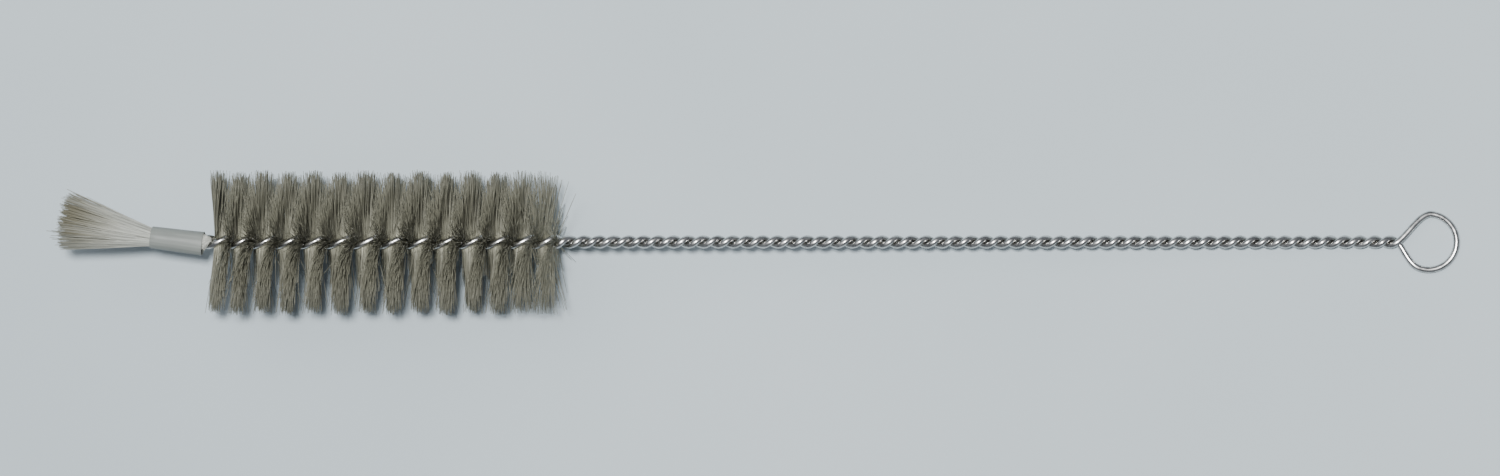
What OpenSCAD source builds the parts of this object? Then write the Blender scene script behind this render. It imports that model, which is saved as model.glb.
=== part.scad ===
// Test tube brush: a spiral head of bristles held in a twisted wire, with a
// pale tuft sleeved at the tip and a hanging loop at the end of the handle.
// It lies as it comes to rest, on the head's rear rim and on the loop.

/* [Wire] */
// Diameter of the wire
wire_d = 1.4; // [1.2:0.1:1.8]
// Length of one turn of the twist in the handle
stem_lead = 6.33; // [5:0.01:9]
// Length of one turn of the twist in the head, where it is loosest
head_lead = 11.45; // [9:0.05:14]
// From the head's front face to where its twist is loosest
loosest_at = 38.5; // [30:0.5:45]
// How much tighter the twist is at the head's ends
end_tighter = 0.21; // [0:0.01:0.3]
// How far the handle's tighter twist runs into the head
tight_in = 1.5; // [0:0.1:4]
// Gap that the bristles hold open between the two strands
pinch = 0.3; // [0.25:0.05:0.5]
// Gap between the two strands in the handle
strand_gap = 0.04; // [0.02:0.01:0.2]
// Length over which the strands close up behind the head
close_up = 3; // [1:0.5:8]
// From the head's rear face to the crossing at the loop
stem_len = 178.3; // [100:0.1:260]
// How far the wire's cut ends stand out of the head's front face
tip_reach = 2.2; // [1.6:0.1:2.3]

/* [Hanging loop] */
// Radius of the ring, to the middle of the wire
loop_r = 5.9; // [4.5:0.1:8]
// From the crossing to the ring's centre
loop_reach = 6.6; // [5.5:0.1:12]
// Angle from the handle's line at which the top leg runs into the ring
top_meets = 85; // [75:1:115]
// Angle from the handle's line at which the lower leg runs into the ring
lower_meets = 112; // [95:1:120]
// Length of the top leg's pull at the crossing
top_pull = 2.5; // [1.4:0.1:3.5]
// Length of the lower leg's pull at the crossing
lower_pull = 1.4; // [1.3:0.1:3]
// Length of a leg's pull at the ring
pull_at_ring = 2.3; // [1.5:0.1:3]

/* [Bristle head] */
// Diameter over the bristle tips
head_d = 30; // [20:0.1:40]
// Length of the bristle head
head_len = 73.3; // [40:0.1:110]
// Angle that one wing of bristles spans beside the wire
root_angle = 76; // [60:1:84]
// Angle that one wing of bristles spans halfway out
middle_angle = 96; // [80:1:110]
// Angle that one wing of bristles spans at its tips
tip_angle = 112; // [90:1:140]
// How far the bristles give where the head's rear rim rests
rest_give = 0.6; // [0.4:0.1:1]
// Room between the wire and what it holds
wire_room = 0.05; // [0.04:0.01:0.07]

/* [Tip sleeve] */
// Length of the sleeve
sleeve_len = 11.2; // [8:0.1:16]
// Outer diameter at the end towards the wire
sleeve_wire_d = 5.1; // [4.8:0.1:5.6]
// Outer diameter at the end towards the tuft
sleeve_tuft_d = 4.7; // [4.4:0.1:5.4]
// Wall of the sleeve
sleeve_wall = 0.3; // [0.2:0.05:0.4]
// From the head's front face to the sleeve's mouth
sleeve_off = 2.35; // [2.2:0.05:3]
// How far the sleeve's mouth sits to the side of the wire's line
sleeve_side = 0.41; // [0:0.01:0.6]
// Angle by which the sleeve points away from the wire's line
sleeve_turn = 7.15; // [0:0.05:10]

/* [Tip tuft] */
// Length of the tuft that shows past the sleeve
tuft_len = 19.6; // [10:0.1:26]
// Width of the tuft at its tips
tuft_w = 11.7; // [6:0.1:16]
// Thickness of the tuft at its tips
tuft_t = 8.4; // [4:0.1:14]
// Angle by which the tuft points away from the wire's line
tuft_lean = 11; // [0:0.5:20]
// Height of the crown that rounds the tuft's tips
tuft_crown = 1.2; // [0.4:0.1:2]
// Room between the tuft and the sleeve around it
sleeve_room = 0.05; // [0.03:0.01:0.15]
// Width along the wire that the tuft's bristles are clamped over
clamp_w = 0.8; // [0.5:0.1:0.9]
// Gap between the clamped bristles and the head's front face
clamp_gap = 0.2; // [0.1:0.05:0.3]
// Thickness of each half of the tuft where it folds out of the wire
fold_d = 0.7; // [0.4:0.1:0.8]
// Angle by which the folded halves swing round on their way to the sleeve
fold_swing = 60; // [52:1:70]

/* [Hidden] */
$fn = 48;
wire_sides = 8;
head_steps = 13;
stem_steps = 8;
leg_steps = 8;
arc_steps = 11;
wing_steps = 18;
arc_points = 4;

wire_r = wire_d / 2;
wire_flat = wire_r * cos(180 / wire_sides);
head_r = head_d / 2;
stem_offset = (wire_d + strand_gap) / 2;
head_offset = (wire_d + pinch) / 2;
lead_change = head_len - tight_in;
neck_x = head_len + stem_len;
ring_x = neck_x + loop_reach;
far_x = ring_x + loop_r;

// The strand's angle about the handle's line: on top at the crossing, in a left-hand twist
change_turn = 90 + 360 * (neck_x - lead_change) / stem_lead;
function ease(w) = w + end_tighter * w * w * w / 3;
function wound(x) = head_len / 2 / head_lead * ease((x - loosest_at) / (head_len / 2));
function turn(x) = x > lead_change
    ? 90 + 360 * (neck_x - x) / stem_lead
    : change_turn + 360 * (wound(lead_change) - wound(x));
function around(x) = [0, cos(turn(x)), sin(turn(x))];
function closing(x) = (1 + cos(180 * min(1, (x - head_len) / close_up))) / 2;
function offset_at(x) = x < head_len
    ? head_offset
    : stem_offset + (head_offset - stem_offset) * closing(x);
function unit(v) = v / norm(v);
function stations(a, b, step) =
    let (n = ceil((b - a) / step)) [for (i = [1:n]) a + (b - a) * i / n];

// Stations of one strand from its cut end to the crossing
strand_x = concat([-tip_reach],
                  stations(-tip_reach, lead_change, head_lead / head_steps),
                  stations(lead_change, neck_x, stem_lead / stem_steps));
last = len(strand_x) - 1;

// The loop in its own plane: a curved leg, the ring and the other leg
helix_slope = atan(2 * PI * stem_offset / stem_lead);
function ring(a) = [loop_reach + loop_r * cos(a), loop_r * sin(a)];
function leg(t, pull, meets) = 3 * t * (1 - t) * (1 - t) * pull * [cos(helix_slope), sin(helix_slope)]
    + 3 * t * t * (1 - t) * (ring(meets) - pull_at_ring * [sin(meets), -cos(meets)])
    + t * t * t * ring(meets);
top_leg = [for (i = [1:leg_steps - 1]) leg(i / leg_steps, top_pull, top_meets)];
lower_leg = [for (i = [leg_steps - 1:-1:1]) leg(i / leg_steps, lower_pull, lower_meets)];
loop_flat = concat(top_leg,
                   [for (i = [arc_steps:-1:1]) ring(top_meets * i / arc_steps)],
                   [for (i = [0:arc_steps]) ring(-lower_meets * i / arc_steps)],
                   [for (p = lower_leg) [p.x, -p.y]]);
// The legs pass one over the other at the crossing and lie flat in the ring
function leg_height(i) = stem_offset * (1 + cos(180 * min(1, i / leg_steps))) / 2;
function loop_height(i) = leg_height(i + 1) - leg_height(len(loop_flat) - i);

wire_path = concat([for (x = strand_x) [x, 0, 0] + offset_at(x) * around(x)],
                   [for (i = [0:len(loop_flat) - 1])
                       [neck_x + loop_flat[i].x, loop_flat[i].y, loop_height(i)]],
                   [for (i = [last:-1:0])
                       [strand_x[i], 0, 0] - offset_at(strand_x[i]) * around(strand_x[i])]);
wire_side = concat([for (x = strand_x) around(x)],
                   [for (p = loop_flat) [0, 0, 1]],
                   [for (i = [last:-1:0]) around(strand_x[i])]);

// Half of a wing's outline, from the web between the strands to the tip
web_half = pinch / 2 - wire_room;
wing_root = wire_r + 2 * pinch;
function spoke(r, a) = r * [cos(a), sin(a)];
wing_half = concat([[wire_r / 3, web_half], [wing_root - wire_room, wire_r / 2]],
                   [spoke(2 * wire_r, root_angle / 2), spoke(head_r / 2, middle_angle / 2)],
                   [for (i = [0:arc_points - 1]) spoke(head_r, tip_angle / 2 * (1 - i / arc_points))]);
half_n = len(wing_half);
wing = concat([for (p = wing_half) [p.x, -p.y]], [[head_r, 0]],
              [for (i = [half_n - 1:-1:0]) wing_half[i]]);
wing_n = len(wing);
wings = concat(wing, -wing);
wing_x = concat([0], stations(0, head_len, head_lead / wing_steps));

// Sleeve and tuft
sleeve_wire_bore = sleeve_wire_d / 2 - sleeve_wall;
sleeve_tuft_bore = sleeve_tuft_d / 2 - sleeve_wall;
plug_start = 0.6;
fold_share = 0.85;
fold_past = 0.7;
clamp_x = -clamp_w / 2 - clamp_gap;
fold_turn = turn(clamp_x) - 90;
fold_out = wire_r + fold_d * fold_share;
fold_end_x = -tip_reach - fold_past;
crown_share = 0.7;
disc_t = 0.02;
tuft_base = [-sleeve_off - sleeve_len * cos(sleeve_turn),
             sleeve_len * sin(sleeve_turn) - sleeve_side];

// Rest pose and origin: bottom centre of the whole brush
rest_r = head_r - rest_give;
rest_span = norm([far_x - head_len, rest_r]);
rest_tilt = atan2(rest_r, far_x - head_len) - asin(wire_flat / rest_span);
wire_low = wire_r * cos(180 / wire_sides - rest_tilt);
rest_lift = far_x * sin(rest_tilt) + wire_low;
function ground(x) = (x * sin(rest_tilt) - rest_lift) / cos(rest_tilt);
function disc_front(s, k) = (tuft_base.x - s * cos(tuft_lean)) * cos(rest_tilt)
    - k * norm([tuft_w / 2 * sin(tuft_lean) * cos(rest_tilt), tuft_t / 2 * sin(rest_tilt)]);
front_x = min(disc_front(tuft_len - tuft_crown, 1), disc_front(tuft_len, crown_share));
rear_x = far_x * cos(rest_tilt) + wire_low;

module lying() {
    translate([-(front_x + rear_x) / 2, 0, rest_lift]) rotate([0, rest_tilt, 0]) children();
}

// Sides between the rings of a sweep, as triangles
function skin(rings, n) = [for (i = [0:rings - 2], k = [0:n - 1])
    let (a = i * n + k, b = i * n + (k + 1) % n, c = a + n, d = b + n)
    each [[a, c, b], [b, c, d]]];

module twisted_wire() {
    count = len(wire_path);
    ahead = [for (i = [0:count - 1]) unit(wire_path[min(i + 1, count - 1)] - wire_path[max(i - 1, 0)])];
    points = [for (i = [0:count - 1])
        let (t = ahead[i], n = unit(wire_side[i] - (wire_side[i] * t) * t), b = cross(t, n))
        for (k = [0:wire_sides - 1])
            let (a = 360 * (k + 0.5) / wire_sides)
            wire_path[i] + wire_r * (cos(a) * n + sin(a) * b)];
    start_cap = [for (k = [0:wire_sides - 1]) k];
    end_cap = [for (k = [wire_sides - 1:-1:0]) (count - 1) * wire_sides + k];
    color("silver") lying() polyhedron(points, concat(skin(count, wire_sides), [start_cap, end_cap]));
}

module bristle_head() {
    n = 2 * wing_n;
    points = [for (x = wing_x, p = wings)
        let (a = turn(x) - 90)
        [x, p.x * cos(a) - p.y * sin(a), max(p.x * sin(a) + p.y * cos(a), ground(x))]];
    strip = [for (w = [0, wing_n], i = [0:half_n - 1])
        i == half_n - 1
            ? [w + i, w + i + 1, w + i + 2]
            : [w + i, w + i + 1, w + wing_n - 2 - i, w + wing_n - 1 - i]];
    front_cap = concat(strip, [[n - 1, 0, wing_n - 1, wing_n]]);
    base = (len(wing_x) - 1) * n;
    rear_cap = [for (f = front_cap) [for (i = [len(f) - 1:-1:0]) base + f[i]]];
    color("#6b6355") lying() polyhedron(points, concat(skin(len(wing_x), n), front_cap, rear_cap));
}

// Stands a shape made along +Z on the sleeve's mouth, pointing to the tip
module in_sleeve() {
    translate([-sleeve_off, -sleeve_side, 0]) rotate([0, 0, -sleeve_turn]) rotate([0, -90, 0]) children();
}

module tip_sleeve() {
    color("#d6d8d0") lying() in_sleeve()
        rotate_extrude() polygon([[sleeve_wire_bore, 0], [sleeve_wire_d / 2, 0],
                                  [sleeve_tuft_d / 2, sleeve_len], [sleeve_tuft_bore, sleeve_len]]);
}

// One flat oval across the tuft, a given way past the sleeve
module across(s, k) {
    translate([tuft_base.x - s * cos(tuft_lean), tuft_base.y + s * sin(tuft_lean), 0])
        rotate([0, 0, -tuft_lean]) rotate([0, -90, 0])
            scale([k * tuft_t / 2, k * tuft_w / 2, 1]) cylinder(h = disc_t, r = 1, center = true);
}

module fold(side) {
    hull() {
        rotate([fold_turn + side, 0, 0])
            translate([clamp_x, fold_out, 0]) sphere(d = fold_d, $fn = 16);
        rotate([fold_turn + side + fold_swing, 0, 0])
            translate([fold_end_x, fold_out, 0]) sphere(d = fold_d, $fn = 16);
    }
}

module tip_tuft() {
    color("#e4e2d6") lying() {
        hull() {
            in_sleeve() translate([0, 0, sleeve_len - disc_t])
                cylinder(h = disc_t, r = sleeve_tuft_bore - sleeve_room);
            across(tuft_len - tuft_crown, 1);
            across(tuft_len, crown_share);
        }
        in_sleeve() translate([0, 0, plug_start])
            cylinder(h = sleeve_len - plug_start, r = sleeve_tuft_bore - sleeve_room);
        rotate([fold_turn, 0, 0]) translate([clamp_x, 0, 0])
            cube([clamp_w, 2 * fold_out, 2 * web_half], center = true);
        fold(0);
        fold(180);
    }
}

twisted_wire();
bristle_head();
tip_sleeve();
tip_tuft();
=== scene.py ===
import math

import bpy
import numpy as np
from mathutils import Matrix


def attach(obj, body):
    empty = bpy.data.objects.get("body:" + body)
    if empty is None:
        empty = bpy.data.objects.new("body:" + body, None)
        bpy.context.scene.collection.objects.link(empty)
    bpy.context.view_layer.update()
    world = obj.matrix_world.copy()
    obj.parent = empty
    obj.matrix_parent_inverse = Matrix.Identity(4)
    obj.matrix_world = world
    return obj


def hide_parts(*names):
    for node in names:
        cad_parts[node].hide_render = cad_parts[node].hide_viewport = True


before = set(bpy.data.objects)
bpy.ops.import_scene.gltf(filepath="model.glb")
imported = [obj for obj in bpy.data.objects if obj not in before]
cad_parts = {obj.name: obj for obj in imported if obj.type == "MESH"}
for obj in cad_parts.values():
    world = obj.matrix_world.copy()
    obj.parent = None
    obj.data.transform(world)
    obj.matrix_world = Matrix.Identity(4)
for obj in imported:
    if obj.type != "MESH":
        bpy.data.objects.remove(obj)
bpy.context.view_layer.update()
bpy.ops.object.select_all(action="DESELECT")

# Twisted wire: one length of bright galvanised steel wire, folded into a hanging loop at the handle's
# end. Its two legs are twisted together left-handed, slower through the head where they clamp the
# bristles, and stop as two cut ends at the sleeve's mouth. Sizes are in millimetres along the brush.
mm = 0.001
wire_r = 0.7
head_len = 73.3
stem_len = 178.3  # from the head to the crossing at the loop
tip_reach = 2.2  # of the cut ends out of the head's front face
strand_gap = 0.04  # between the strands in the handle
pinch = 0.3  # between the strands in the head, where the bristles hold them apart
close_up = 3.0  # length over which the strands close up behind the head
neck_x = head_len + stem_len
stem_offset = wire_r + strand_gap / 2
head_offset = wire_r + pinch / 2

# One turn of the twist is longer in the head, and longest near its middle
stem_lead = 6.33
head_lead = 11.45
loosest_at = 38.5
end_tighter = 0.21
tight_in = 1.5  # of the handle's twist into the head
half_head = head_len / 2
lead_change = head_len - tight_in


def wound(x):
    """Turns of the twist in the head, counted from where it is loosest."""
    way = (np.minimum(x, lead_change) - loosest_at) / half_head
    return half_head / head_lead * (way + end_tighter / 3 * way ** 3)


def turn(x):
    """Angle of the first strand about the handle's line, in degrees, from the side towards the top."""
    stem_turns = (neck_x - np.maximum(x, lead_change)) / stem_lead
    return 90 + 360 * (stem_turns + wound(lead_change) - wound(x))


# The straight brush is tilted about its side axis, then moved along and up to where it lies
rest_tilt = math.radians(4.12237)
rest_shift = -115.3277
rest_lift = 19.6496


def lay(points):
    """Takes points along the straight brush, in millimetres, to where it lies, in metres."""
    x, y, z = np.moveaxis(np.asarray(points, float), -1, 0)
    cosine = math.cos(rest_tilt)
    sine = math.sin(rest_tilt)
    return np.stack([x * cosine + z * sine + rest_shift, y, z * cosine - x * sine + rest_lift], -1) * mm


def easing(way):
    """Falls smoothly from one to nought while the way goes from nought to one."""
    return (1 + np.cos(np.pi * np.clip(way, 0, 1))) / 2


head_stations = 194
stem_stations = 626
strand_x = np.concatenate([np.linspace(-tip_reach, lead_change, head_stations),
                           np.linspace(lead_change, neck_x, stem_stations)[1:]])
offset = stem_offset + (head_offset - stem_offset) * easing((strand_x - head_len) / close_up)
angle = np.radians(turn(strand_x))
strand = np.stack([strand_x, offset * np.cos(angle), offset * np.sin(angle)], -1)

# The loop is a ring between two unlike legs, which pass one over the other at the crossing
loop_r = 5.9
loop_reach = 6.6  # from the crossing to the ring's centre
top_meets = math.radians(85)  # where a leg runs into the ring, from the handle's line
lower_meets = math.radians(112)
top_pull = 2.5  # of a leg's curve at the crossing
lower_pull = 1.4
pull_at_ring = 2.3
leg_stations = 25
ring_stations = 81
strand_slope = math.atan(2 * math.pi * stem_offset / stem_lead)
leg_way = np.linspace(0, 1, leg_stations)[1:-1, None]
leg_rise = stem_offset * easing(leg_way)


def leg(pull, meets):
    """One leg of the loop in its plane, from the crossing to where it runs into the ring."""
    end = np.array([loop_reach + loop_r * math.cos(meets), loop_r * math.sin(meets)])
    from_neck = pull * np.array([math.cos(strand_slope), math.sin(strand_slope)])
    to_ring = end - pull_at_ring * np.array([math.sin(meets), -math.cos(meets)])
    left = 1 - leg_way
    return 3 * leg_way * left ** 2 * from_neck + 3 * leg_way ** 2 * left * to_ring + leg_way ** 3 * end


top_leg = np.hstack([leg(top_pull, top_meets), leg_rise])
lower_leg = np.hstack([leg(lower_pull, lower_meets) * [1, -1], -leg_rise])[::-1]
bow = np.linspace(top_meets, -lower_meets, ring_stations)
ring = np.stack([loop_reach + loop_r * np.cos(bow), loop_r * np.sin(bow), np.zeros(ring_stations)], -1)
loop = np.vstack([top_leg, ring, lower_leg]) + [neck_x, 0, 0]
wire_path = np.vstack([strand, loop, (strand * [1, -1, -1])[::-1]])

wire_line = bpy.data.curves.new("twisted_wire_bright", "CURVE")
wire_line.dimensions = "3D"
wire_spline = wire_line.splines.new("POLY")
wire_spline.points.add(len(wire_path) - 1)
wire_spline.points.foreach_set("co", np.column_stack([lay(wire_path), np.ones(len(wire_path))]).ravel())
wire_line.bevel_depth = wire_r * mm
wire_line.bevel_resolution = 5
wire_line.use_fill_caps = True
twisted_wire = bpy.data.objects.new("twisted_wire_bright", wire_line)
bpy.context.collection.objects.link(twisted_wire)
bpy.context.view_layer.objects.active = twisted_wire
twisted_wire.select_set(True)
bpy.ops.object.convert(target="MESH")
bpy.ops.object.mode_set(mode="EDIT")
bpy.ops.mesh.select_all(action="SELECT")
bpy.ops.mesh.remove_doubles(threshold=1e-6)
bpy.ops.mesh.normals_make_consistent(inside=False)
bpy.ops.object.mode_set(mode="OBJECT")
bpy.ops.object.shade_smooth_by_angle(angle=math.radians(50))


def finish_of(name):
    """A new material with only its output and main shader, ready to be wired."""
    material = bpy.data.materials.new(name)
    material.use_nodes = True
    return material, material.node_tree, material.node_tree.nodes["Principled BSDF"]


# Places of the two inputs of a node that share one name
twin_inputs = {"First": 0, "Second": 1}


def node(tree, kind, **settings):
    """Adds a shader node: names in small letters set its options, the others feed or set its inputs."""
    made = tree.nodes.new("ShaderNode" + kind)
    for name, value in settings.items():
        if name.islower():
            setattr(made, name, value)
    for name, value in settings.items():
        if name.islower():
            continue
        socket = made.inputs[twin_inputs.get(name, name.replace("_", " "))]
        if isinstance(value, bpy.types.NodeSocket):
            tree.links.new(value, socket)
        else:
            socket.default_value = value
    return made


def along_brush(tree, step, turned=0.0):
    """Coordinates along the brush as it lies, in steps of a given size, turned to the side if asked."""
    place = node(tree, "TexCoord")
    mapped = node(tree, "Mapping", vector_type="TEXTURE", Vector=place.outputs["Object"],
                  Location=(rest_shift * mm, 0, rest_lift * mm), Rotation=(0, rest_tilt, -turned),
                  Scale=step)
    return mapped.outputs["Vector"]


def two_tones(tree, pattern, low, dark, high, pale):
    """Colour that runs from dark to pale while a pattern goes from low to high."""
    ramp = node(tree, "ValToRGB", Fac=pattern)
    for stop, position, tone in zip(ramp.color_ramp.elements, (low, high), (dark, pale)):
        stop.position = position
        stop.color = (*tone, 1)
    return ramp.outputs["Color"]


# The zinc is mottled and finely pitted. In the grooves between the strands its colour is darkened
# towards a grey that is partly grime and partly painted shade
groove_top = 0.95  # from the handle's line
groove_bottom = 0.45
grooves_end = neck_x - 0.5
zinc_dark = (0.44, 0.44, 0.43)
zinc_pale = (0.67, 0.67, 0.655)
# Grey of grime and painted shade, laid into the grooves between the strands
groove_grime_and_shade = (0.38, 0.37, 0.35, 1)
pit_depth = 0.05
bright_wire, tree, surface = finish_of("bright_wire")
along = along_brush(tree, (mm, mm, mm))
flat = node(tree, "VectorMath", operation="MULTIPLY", First=along, Second=(0, 1, 1))
radius = node(tree, "VectorMath", operation="LENGTH", First=flat.outputs["Vector"])
groove = node(tree, "MapRange", interpolation_type="SMOOTHSTEP", Value=radius.outputs["Value"],
              From_Min=groove_top, From_Max=groove_bottom)
split = node(tree, "SeparateXYZ", Vector=along)
in_handle = node(tree, "Math", operation="LESS_THAN", First=split.outputs["X"], Second=grooves_end)
grime_and_shade_share = node(tree, "Math", operation="MULTIPLY", First=groove.outputs["Result"],
            Second=in_handle.outputs["Value"])
mottle = node(tree, "TexNoise", Vector=along, Scale=0.9, Detail=5)
zinc = two_tones(tree, mottle.outputs["Fac"], low=0.35, dark=zinc_dark, high=0.68, pale=zinc_pale)
# Painted shade and grime: the grooves' darker grey is mixed into the zinc's colour
grimed_and_shaded_zinc = node(tree, "Mix", data_type="RGBA", Factor=grime_and_shade_share.outputs["Value"], A=zinc, B=groove_grime_and_shade)
gloss = node(tree, "MapRange", Value=mottle.outputs["Fac"], To_Min=0.18, To_Max=0.38)
pits = node(tree, "TexNoise", Vector=along, Scale=7)
pitted = node(tree, "Bump", Height=pits.outputs["Fac"], Strength=0.12, Distance=pit_depth * mm)
tree.links.new(grimed_and_shaded_zinc.outputs["Result"], surface.inputs["Base Color"])
tree.links.new(gloss.outputs["Result"], surface.inputs["Roughness"])
tree.links.new(pitted.outputs["Normal"], surface.inputs["Normal"])
surface.inputs["Metallic"].default_value = 1
twisted_wire.data.materials.clear()
twisted_wire.data.materials.append(bright_wire)
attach(twisted_wire, "root")
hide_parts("twisted_wire")

# Bristle head: some eight thousand grey-brown bristles, laid across the wire in one layer and clamped
# by its twist, which turns them into two spiral wings. Each half of a bristle is a thin stalk of its
# own, trimmed to a ragged cylinder, and those under the rear rim give where they meet the table.
bristle_d = 0.11
bristle_cuts = 3
bristles_per_wing = 8300
shades = 32
rng = np.random.default_rng(7)


def model_stalk(cuts):
    """Models one four-sided stalk of unit length and radius, and returns its points and faces."""
    worn_tip = 0.62
    bpy.ops.object.select_all(action="DESELECT")
    bpy.ops.mesh.primitive_cylinder_add(vertices=4, radius=1, depth=1, location=(0, 0, 0.5))
    stalk = bpy.context.object
    bpy.ops.object.transform_apply(location=True)
    bpy.ops.object.mode_set(mode="EDIT")
    bpy.ops.mesh.select_mode(type="EDGE")
    bpy.ops.mesh.select_all(action="DESELECT")
    bpy.ops.object.mode_set(mode="OBJECT")
    # Only the long edges are cut
    for edge in stalk.data.edges:
        one, two = (stalk.data.vertices[i].co.z for i in edge.vertices)
        edge.select = abs(one - two) > 0.5
    bpy.ops.object.mode_set(mode="EDIT")
    bpy.ops.mesh.subdivide(number_cuts=cuts)
    bpy.ops.mesh.select_mode(type="VERT")
    bpy.ops.mesh.select_all(action="DESELECT")
    bpy.ops.object.mode_set(mode="OBJECT")
    # The tip is drawn in
    for vertex in stalk.data.vertices:
        vertex.select = vertex.co.z > 0.99
    bpy.ops.object.mode_set(mode="EDIT")
    bpy.ops.transform.resize(value=(worn_tip, worn_tip, 1), center_override=(0, 0, 1))
    bpy.ops.object.mode_set(mode="OBJECT")
    points = np.array([v.co for v in stalk.data.vertices])
    faces = np.array([list(f.vertices) for f in stalk.data.polygons])
    bpy.data.objects.remove(stalk)
    return points, faces


def bundle(name, stalk, paths, thickness, shade, side):
    """Copies the stalk along each path, given in metres, and joins the copies into one piece.

    Each copy takes up the strip of its shade in the piece's map, with its root at the bottom.
    """
    strip_reach = 0.3  # of a stalk to each side of its strip's middle
    map_margin = 0.02
    points, faces = stalk
    face_corners = faces.shape[1]
    count, stops = paths.shape[:2]
    ahead = np.gradient(paths, axis=1)
    ahead /= np.linalg.norm(ahead, axis=-1, keepdims=True)
    across = np.cross(ahead, side)
    across /= np.linalg.norm(across, axis=-1, keepdims=True)
    over = np.cross(ahead, across)
    stop = np.rint(points[:, 2] * (stops - 1)).astype(int)
    spots = points[:, :1] * across[:, stop] + points[:, 1:2] * over[:, stop]
    spots = paths[:, stop] + thickness[:, None, None] / 2 * spots
    first_point = np.arange(count) * len(points)
    corners = (faces[None] + first_point[:, None, None]).ravel()
    # The sides are shaded smooth and the two ends flat
    rounded = np.ptp(points[faces][:, :, 2], axis=1) > 0.01
    mesh = bpy.data.meshes.new(name)
    mesh.vertices.add(count * len(points))
    mesh.vertices.foreach_set("co", spots.ravel())
    mesh.loops.add(len(corners))
    mesh.loops.foreach_set("vertex_index", corners)
    mesh.polygons.add(count * len(faces))
    mesh.polygons.foreach_set("loop_start", np.arange(count * len(faces)) * face_corners)
    mesh.polygons.foreach_set("use_smooth", np.tile(rounded, count))
    strip = mesh.uv_layers.new(name="OFBake")
    corner = points[faces].reshape(-1, 3)
    map_x = (shade[:, None] + 0.5 + strip_reach * corner[None, :, 0]) / shades
    map_y = np.broadcast_to(map_margin + (1 - 2 * map_margin) * corner[None, :, 2], map_x.shape)
    strip.data.foreach_set("uv", np.stack([map_x, map_y], -1).ravel())
    mesh.update()
    mesh.validate()
    piece = bpy.data.objects.new(name, mesh)
    bpy.context.collection.objects.link(piece)
    return piece


# How the bristles lie, in degrees and millimetres: their scatter, their curl and how they are trimmed
end_gap = 0.1
spin_scatter = 4.0
lean_scatter = 2.6
curl_around = 1.5
curl_along = 0.15
trim_loss = 1.2
trim_spread = 1.6
shortest = 6.0
# At the front, those on top lean back from the sleeve and those on one side lean forward
top_lean = 12.0
top_lean_fades = 3.0
side_lean = 4.5
side_lean_fades = 14.0
side_longer = 0.3
# The rear end is loose: thinner, more splayed, with a few bristles that lean out behind
loose_from = 62.0
loose_thinned = 0.6
thinned_over = 6.0
loose_splay = 1.3
splayed_over = 5.0
last_few = 1.0
last_few_share = 0.1
last_few_lean = (2, 10)
# A few bristles stray out of line, but none beside the sleeve
stray_from = 4.0
stray_share = 0.01
stray_lean = 11.0


def waves(x, pitch, size):
    """Slow random drift along the head, so that neighbouring bristles lie together in locks."""
    margin = 5
    knots = np.arange(-margin, head_len + margin, pitch)
    return np.interp(x, knots, rng.normal(0, size, len(knots)))


def wing(start, fan, longest):
    """One spiral wing: lines of the halves of all bristles that leave the wire on this side."""
    x = (np.arange(bristles_per_wing) + rng.random(bristles_per_wing)) / bristles_per_wing
    x = x * (head_len - 2 * end_gap) + end_gap
    x = x[rng.random(len(x)) > loose_thinned * np.clip((x - loose_from) / thinned_over, 0, 1)]
    count = len(x)
    spin = turn(x) - 90 + start + rng.uniform(-fan, fan, count)
    spin += rng.normal(0, spin_scatter, count)
    spin += waves(x, pitch=1.6, size=1.5)
    splay = 1 + loose_splay * np.clip((x - loose_from) / splayed_over, 0, 1)
    lean = rng.normal(0, lean_scatter, count) * splay
    lean += waves(x, pitch=1.8, size=0.6)
    on_top = np.maximum(np.sin(np.radians(spin)), 0)
    at_side = np.maximum(-np.cos(np.radians(spin)), 0)
    lean += top_lean * np.exp(-x / top_lean_fades) * on_top
    lean -= side_lean * np.exp(-x / side_lean_fades) * at_side
    reach = longest + side_longer * at_side - rng.gamma(trim_spread, trim_loss / trim_spread, count)
    reach = np.maximum(reach, shortest)
    stray = (x > stray_from) & (rng.random(count) < stray_share)
    lean[stray] += rng.normal(0, stray_lean, stray.sum())
    behind = (x > head_len - last_few) & (rng.random(count) < last_few_share)
    lean[behind] += rng.uniform(*last_few_lean, behind.sum())
    outward = np.linspace(0, 1, bristle_cuts + 2)
    away = reach[:, None] * outward
    around = np.radians(spin[:, None] + rng.normal(0, curl_around, count)[:, None] * outward ** 2)
    drift = np.tan(np.radians(lean))[:, None] * away
    drift += rng.normal(0, curl_along, count)[:, None] * outward ** 2
    paths = lay(np.stack([x[:, None] + drift, away * np.cos(around), away * np.sin(around)], -1))
    paths[..., 2] = np.maximum(paths[..., 2], bristle_d * mm)
    return paths


# Colour of single strands, read from the strip that each takes up in its map: a shade across the
# strip, bands along its length, a tip tone that some shades take on, and a root painted lighter or
# darker. The tip tone is a brown stain on the tuft and painted shade on the grey-brown bristles,
# whose roots are painted lighter as painted light in the shade near the wire
strand_shade = bpy.data.node_groups.new("strand_shade", "ShaderNodeTree")
strand_inputs = {"Strip": "Vector", "Dark": "Color", "Pale": "Color", "Tip": "Color",
                 "Tip Start": "Float", "Tip From": "Float", "Root": "Float"}
for label, kind in strand_inputs.items():
    strand_shade.interface.new_socket(label, in_out="INPUT", socket_type="NodeSocket" + kind)
for label, kind in {"Color": "Color", "Roughness": "Float"}.items():
    strand_shade.interface.new_socket(label, in_out="OUTPUT", socket_type="NodeSocket" + kind)
given = strand_shade.nodes.new("NodeGroupInput").outputs
result = strand_shade.nodes.new("NodeGroupOutput").inputs
axes = node(strand_shade, "SeparateXYZ", Vector=given["Strip"]).outputs
plain = node(strand_shade, "Mix", data_type="RGBA", Factor=axes["X"], A=given["Dark"], B=given["Pale"])
stretched = node(strand_shade, "Mapping", Vector=given["Strip"], Scale=(2 * shades, 5, 1))
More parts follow.
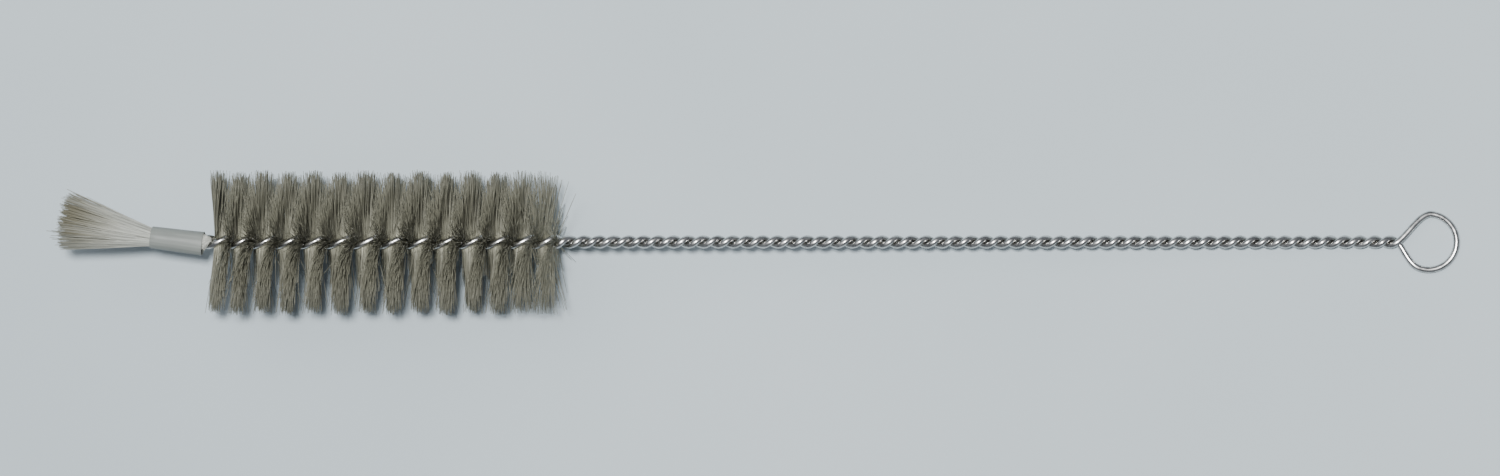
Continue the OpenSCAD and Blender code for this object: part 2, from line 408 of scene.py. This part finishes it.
bands = node(strand_shade, "TexNoise", Vector=stretched.outputs["Vector"], Scale=1, Detail=3)
band_tone = node(strand_shade, "MapRange", Value=bands.outputs["Fac"], To_Min=0.6, To_Max=1.4)
banded = node(strand_shade, "Mix", data_type="RGBA", blend_type="MULTIPLY", Factor=1,
              A=plain.outputs["Result"], B=band_tone.outputs["Result"])
# Tip tone: a brown stain on the tuft, painted shade on the grey-brown bristles
outer = node(strand_shade, "MapRange", interpolation_type="SMOOTHSTEP", Value=axes["Y"],
             From_Min=given["Tip Start"], From_Max=1.05)
marked = node(strand_shade, "MapRange", interpolation_type="SMOOTHSTEP", Value=axes["X"],
              From_Min=given["Tip From"], From_Max=1)
tip_share = node(strand_shade, "Math", operation="MULTIPLY", First=outer.outputs["Result"],
                 Second=marked.outputs["Result"])
tipped = node(strand_shade, "Mix", data_type="RGBA", Factor=tip_share.outputs["Value"],
              A=banded.outputs["Result"], B=given["Tip"])
# Painted light at the root: the colour is multiplied by the Root factor there, fading out along the strand
root_painted_light = node(strand_shade, "MapRange", interpolation_type="SMOOTHSTEP", Value=axes["Y"],
                 From_Max=0.22, To_Min=given["Root"], To_Max=1)
root_lit_colour = node(strand_shade, "Mix", data_type="RGBA", blend_type="MULTIPLY", Factor=1,
              A=tipped.outputs["Result"], B=root_painted_light.outputs["Result"])
rough = node(strand_shade, "MapRange", Value=bands.outputs["Fac"], To_Min=0.38, To_Max=0.62)
strand_shade.links.new(root_lit_colour.outputs["Result"], result["Color"])
strand_shade.links.new(rough.outputs["Result"], result["Roughness"])


def strand_finish(name, **values):
    """A material of single strands, shaded through the group above."""
    material, tree, surface = finish_of(name)
    strip = node(tree, "UVMap", uv_map="OFBake")
    shade = tree.nodes.new("ShaderNodeGroup")
    shade.node_tree = strand_shade
    for label, value in values.items():
        shade.inputs[label.replace("_", " ").title()].default_value = value
    tree.links.new(strip.outputs["UV"], shade.inputs["Strip"])
    tree.links.new(shade.outputs["Color"], surface.inputs["Base Color"])
    tree.links.new(shade.outputs["Roughness"], surface.inputs["Roughness"])
    surface.inputs["Specular IOR Level"].default_value = 0.35
    return material


# Grey-brown bristles: tips painted darker as painted shade for bristles seen end-on, and roots painted
# lighter (root factor 2.1) as painted light in the shade near the wire
grey_brown = strand_finish("grey_brown_bristle", dark=(0.13, 0.127, 0.095, 1), pale=(0.435, 0.43, 0.337, 1),
                           tip=(0.16, 0.157, 0.118, 1), tip_start=0.1, tip_from=-1.0, root=2.1)
bristle_stalk = model_stalk(bristle_cuts)
thinnest = 0.85
thickest = 1.2
# Each wing has its start about the wire, half its spread, its longest bristle and its range of shades
wings = {"one": (0, 29.0, 15.5, (0, 27)), "two": (180, 24.0, 15.2, (5, shades))}
for wing_name, (start, fan, longest, tones) in wings.items():
    lines = wing(start, fan, longest)
    middle = len(lines) // 2
    for end_name, chosen in (("front", lines[:middle]), ("rear", lines[middle:])):
        thickness = rng.uniform(thinnest, thickest, len(chosen)) * bristle_d * mm
        shade = rng.integers(*tones, len(chosen))
        bristles = bundle(f"bristle_wing_{wing_name}_{end_name}", bristle_stalk, chosen,
                          thickness, shade, side=(1.0, 0.0, 0.0))
        bristles.data.materials.append(grey_brown)
        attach(bristles, "root")
        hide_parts("bristle_head")

# Tip tuft: a bundle of off-white bristles, clamped across the wire's two ends. Both halves fold
# forward into the sleeve and spread past it into a flat fan, stained brown towards its tips.
tuft_hairs = 900
hair_d = 0.14
hair_cuts = 6
tuft_len = 20.6
tuft_w = 14.3
tuft_t = 8.6
tuft_crown = 1.4
tuft_lean = math.radians(11.5)
sleeve_len = 11.2
sleeve_off = 2.35  # from the head's front face to the sleeve's mouth
sleeve_side = 0.41
sleeve_turn = math.radians(7.15)
plug_r = 1.97  # of the bundle inside the sleeve


def heading(turned):
    """Directions along and across a piece that points to the tip, turned to the side."""
    along = np.array([-math.cos(turned), math.sin(turned), 0.0])
    across = np.array([math.sin(turned), math.cos(turned), 0.0])
    return along, across


def about_wire(x, away, degrees):
    """Points at a distance and angle from the handle's line."""
    angle = np.radians(degrees)
    return np.stack([np.broadcast_to(x, angle.shape), away * np.cos(angle), away * np.sin(angle)], -1)


def on_disc(away, angle):
    """Points of a flat disc, at a distance and angle from its middle."""
    return np.stack([away * np.cos(angle), away * np.sin(angle)], -1)


sleeve_way, sleeve_across = heading(sleeve_turn)
tuft_way, tuft_across = heading(tuft_lean)
upright = np.array([0.0, 0.0, 1.0])
mouth = np.array([-sleeve_off, -sleeve_side, 0.0])
sleeve_end = mouth + sleeve_len * sleeve_way

# Each hair leaves the clamp on one side and takes a place of its own in the sleeve's bore
clamp_x = -0.6
clamp_half = 0.3
clamp_r = 0.1
fold_fan = 24
fold_swing = 60.0
bore_scatter = 60
half = np.where(np.arange(tuft_hairs) % 2, 180.0, 0.0)
fold_turn = turn(np.array(clamp_x)) - 90 + half + rng.uniform(-fold_fan, fold_fan, tuft_hairs)
bore_angle = np.radians(fold_turn + fold_swing + rng.normal(0, bore_scatter, tuft_hairs))
bore_share = np.sqrt(rng.random(tuft_hairs))
place = on_disc(bore_share, bore_angle)
in_bore = plug_r * (place[:, :1] * sleeve_across + place[:, 1:] * upright)

# Past the sleeve, neighbouring hairs are drawn together into locks, trimmed to a crown and frayed
tuft_locks = 70
least_drawn = 0.1
most_drawn = 0.6
hair_trim = (1.5, 0.6)
lock_trim = (1.0, 0.4)
frayed_share = 0.14
frayed = 0.9
unfrayed = 0.2
lock_share = np.sqrt(rng.random(tuft_locks))
lock_angle = rng.uniform(0, 2 * np.pi, tuft_locks)
lock_place = on_disc(lock_share, lock_angle)
lock = np.argmin(np.linalg.norm(place[:, None] - lock_place[None], axis=-1), axis=1)
drawn = rng.uniform(least_drawn, most_drawn, (tuft_hairs, 1))
spread = place + (lock_place[lock] - place) * drawn
hair_len = tuft_len - tuft_crown * bore_share ** 2
hair_len -= rng.gamma(*hair_trim, tuft_hairs)
hair_len -= rng.gamma(*lock_trim, tuft_locks)[lock]
fan_out = (spread[:, :1] * tuft_w * tuft_across + spread[:, 1:] * tuft_t * upright) / 2
fan_out *= (hair_len / tuft_len)[:, None]
fray = rng.normal(0, 1, (tuft_hairs, 3))
fray *= np.where(rng.random(tuft_hairs) < frayed_share, frayed, unfrayed)[:, None]

# The stops of a hair: clamp, fold, swing, the sleeve's mouth and end, and three along the fan
fold_ahead = 0.2
fold_skew = 6
least_fold_out = 1.0
more_fold_out = 0.6
swing_x = -2.0
swing_out = 0.55
swing_share = 0.6
swing_scatter = 14
mouth_depth = 1.0
opening_at = 0.2
half_at = 0.5
bend = 0.5
bend_of_fray = (0.1, 0.4, 0.4)
fold_out = least_fold_out + more_fold_out * rng.random(tuft_hairs)
clamped = about_wire(clamp_x + rng.uniform(-clamp_half, clamp_half, tuft_hairs), clamp_r, fold_turn)
folded = about_wire(clamp_x - fold_ahead, fold_out, fold_turn + fold_skew)
swing = fold_turn + swing_share * fold_swing + rng.normal(0, swing_scatter, tuft_hairs)
swung = about_wire(swing_x, fold_out + swing_out, swing)
entering = mouth + mouth_depth * sleeve_way + in_bore
leaving = sleeve_end + in_bore
tips = sleeve_end + hair_len[:, None] * tuft_way + fan_out + fray
opening = leaving + (tips - leaving) * opening_at
half_way = leaving + (tips - leaving) * half_at
half_way += fray * bend_of_fray * rng.normal(0, bend, (tuft_hairs, 1))
hairs = np.stack([clamped, folded, swung, entering, leaving, opening, half_way, tips], 1)

# Most locks of the fan's upper middle are stained, and a few hairs elsewhere
clean_shades = 19
stained_from = 24
stain_centre = 0.05
stain_half = 0.55
stain_low = -0.3
stained_locks = 0.7
stained_hairs = 0.08
in_middle = (np.abs(place[:, 0] - stain_centre) < stain_half) & (place[:, 1] > stain_low)
stained = in_middle & (rng.random(tuft_locks)[lock] < stained_locks)
stained |= rng.random(tuft_hairs) < stained_hairs
stained_shade = rng.integers(stained_from, shades, tuft_hairs)
clean_shade = rng.integers(0, clean_shades, tuft_hairs)
hair_shade = np.where(stained, stained_shade, clean_shade)
hair_thickness = rng.uniform(thinnest, thickest, tuft_hairs) * hair_d * mm
tip_tuft = bundle("tip_tuft_bristles", model_stalk(hair_cuts), lay(hairs), hair_thickness, hair_shade,
                  side=(0.0, 0.0, 1.0))
off_white = strand_finish("off_white_bristle", dark=(0.33, 0.34, 0.305, 1), pale=(0.53, 0.545, 0.495, 1),
                          tip=(0.17, 0.15, 0.085, 1), tip_start=0.7, tip_from=-0.3, root=1.0)
tip_tuft.data.materials.append(off_white)
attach(tip_tuft, "root")
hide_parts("tip_tuft")

# Tip sleeve: a short length of soft, milky plastic tube, a little wider at its mouth, pushed over the
# folded tuft. It has a thin wall with softened rims, and shows faint streaks of the bristles inside.
sleeve_wire_d = 5.1
sleeve_tuft_d = 4.7
sleeve_wall = 0.3
sleeve_rim = 0.09
lobe_height = 0.03
lobes = 3
lobe_twist = 2.2
bpy.ops.object.select_all(action="DESELECT")
bpy.ops.mesh.primitive_cylinder_add(vertices=64, radius=sleeve_wire_d / 2 * mm, depth=sleeve_len * mm,
                                    end_fill_type="NOTHING", location=(0, 0, sleeve_len / 2 * mm))
tip_sleeve = bpy.context.object
tip_sleeve.name = "tip_sleeve_tube"
bpy.ops.object.transform_apply(location=True)
bpy.ops.object.mode_set(mode="EDIT")
bpy.ops.mesh.select_all(action="SELECT")
bpy.ops.mesh.subdivide(number_cuts=7)
bpy.ops.object.mode_set(mode="OBJECT")
# The tube is tapered and a little out of round between its ends
tube = np.array([v.co for v in tip_sleeve.data.vertices])
height = tube[:, 2] / (sleeve_len * mm)
angle = np.arctan2(tube[:, 1], tube[:, 0])
tube_r = (sleeve_wire_d + (sleeve_tuft_d - sleeve_wire_d) * height) / 2
tube_r += lobe_height * np.sin(lobes * angle + lobe_twist * height) * np.sin(np.pi * height)
tube[:, :2] = on_disc(tube_r * mm, angle)
tip_sleeve.data.vertices.foreach_set("co", tube.ravel())
wall = tip_sleeve.modifiers.new("wall", "SOLIDIFY")
wall.thickness = sleeve_wall * mm
wall.offset = -1
wall.use_even_offset = True
rim = tip_sleeve.modifiers.new("rim", "BEVEL")
rim.width = sleeve_rim * mm
rim.segments = 2
rim.limit_method = "ANGLE"
rim.angle_limit = math.radians(50)
bpy.ops.object.modifier_apply(modifier="wall")
bpy.ops.object.modifier_apply(modifier="rim")
bpy.ops.object.shade_smooth_by_angle(angle=math.radians(40))
tube = np.array([v.co for v in tip_sleeve.data.vertices]) / mm
tube = mouth + tube[:, 2:] * sleeve_way + tube[:, 1:2] * sleeve_across + tube[:, :1] * upright
tip_sleeve.data.vertices.foreach_set("co", lay(tube).ravel())
tip_sleeve.data.update()

streak = (12 * mm, 0.6 * mm, 0.6 * mm)
streak_depth = 0.1
milk_dark = (0.18, 0.195, 0.182)
milk_pale = (0.245, 0.263, 0.245)
milky_tube, tree, surface = finish_of("milky_tube")
streaks = node(tree, "TexNoise", Vector=along_brush(tree, streak, sleeve_turn), Scale=1, Detail=3)
milk = two_tones(tree, streaks.outputs["Fac"], low=0.32, dark=milk_dark, high=0.7, pale=milk_pale)
smear = node(tree, "TexNoise", Vector=node(tree, "TexCoord").outputs["Object"], Scale=700)
satin = node(tree, "MapRange", Value=smear.outputs["Fac"], To_Min=0.42, To_Max=0.62)
ridges = node(tree, "Bump", Height=streaks.outputs["Fac"], Strength=0.12, Distance=streak_depth * mm)
tree.links.new(milk, surface.inputs["Base Color"])
tree.links.new(satin.outputs["Result"], surface.inputs["Roughness"])
tree.links.new(ridges.outputs["Normal"], surface.inputs["Normal"])
tip_sleeve.data.materials.append(milky_tube)
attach(tip_sleeve, "root")
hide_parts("tip_sleeve")

# Table and studio: a plain pale top, one compact key lamp close to the view from above, which draws
# the bright dashes on the wire, and a wide soft lamp and a pale room that fill the shadows.
bpy.ops.object.select_all(action="DESELECT")
bpy.ops.mesh.primitive_plane_add(size=4, location=(0, 0, 0))
table_top = bpy.context.object
table_top.name = "table_top"
paint_dark = (0.46, 0.535, 0.57)
paint_pale = (0.50, 0.575, 0.61)
pale_top, tree, surface = finish_of("pale_top")
cloud = node(tree, "TexNoise", Vector=node(tree, "TexCoord").outputs["Object"], Scale=9)
paint = two_tones(tree, cloud.outputs["Fac"], low=0.3, dark=paint_dark, high=0.7, pale=paint_pale)
tree.links.new(paint, surface.inputs["Base Color"])
surface.inputs["Roughness"].default_value = 0.7
table_top.data.materials.append(pale_top)

room = bpy.data.worlds.new("pale_room")
room.use_nodes = True
room.node_tree.nodes["Background"].inputs["Color"].default_value = (0.85, 0.9, 1.0, 1)
room.node_tree.nodes["Background"].inputs["Strength"].default_value = 0.2
bpy.context.scene.world = room
# Each lamp has its place, its size in metres and its power in watts
lamps = {"key_lamp": ((0.035, 0.09, 1.1), 0.1, 18.0), "fill_lamp": ((-0.5, 0.55, 1.3), 1.0, 4.0)}
for name, (spot, size, power) in lamps.items():
    bpy.ops.object.light_add(type="AREA", location=spot)
    lamp = bpy.context.object
    lamp.name = name
    lamp.data.size = size
    lamp.data.energy = power
    lamp.rotation_euler = (-lamp.location).to_track_quat("-Z", "Y").to_euler()

# Camera: it looks down from 0.9 m, a little from the handle's side, as the photograph was taken
camera_x = 0.085
camera_y = 0.00083
camera_z = 0.9
aim_x = -0.0016
aim_z = 0.008
camera_tilt = math.atan2(camera_x - aim_x, camera_z - aim_z)
bpy.ops.object.camera_add(location=(camera_x, camera_y, camera_z), rotation=(0, camera_tilt, 0))
camera = bpy.context.object
camera.data.lens = 100.72
camera.data.sensor_width = 36
camera.data.clip_start = 0.01
camera.data.clip_end = 20
bpy.context.scene.camera = camera
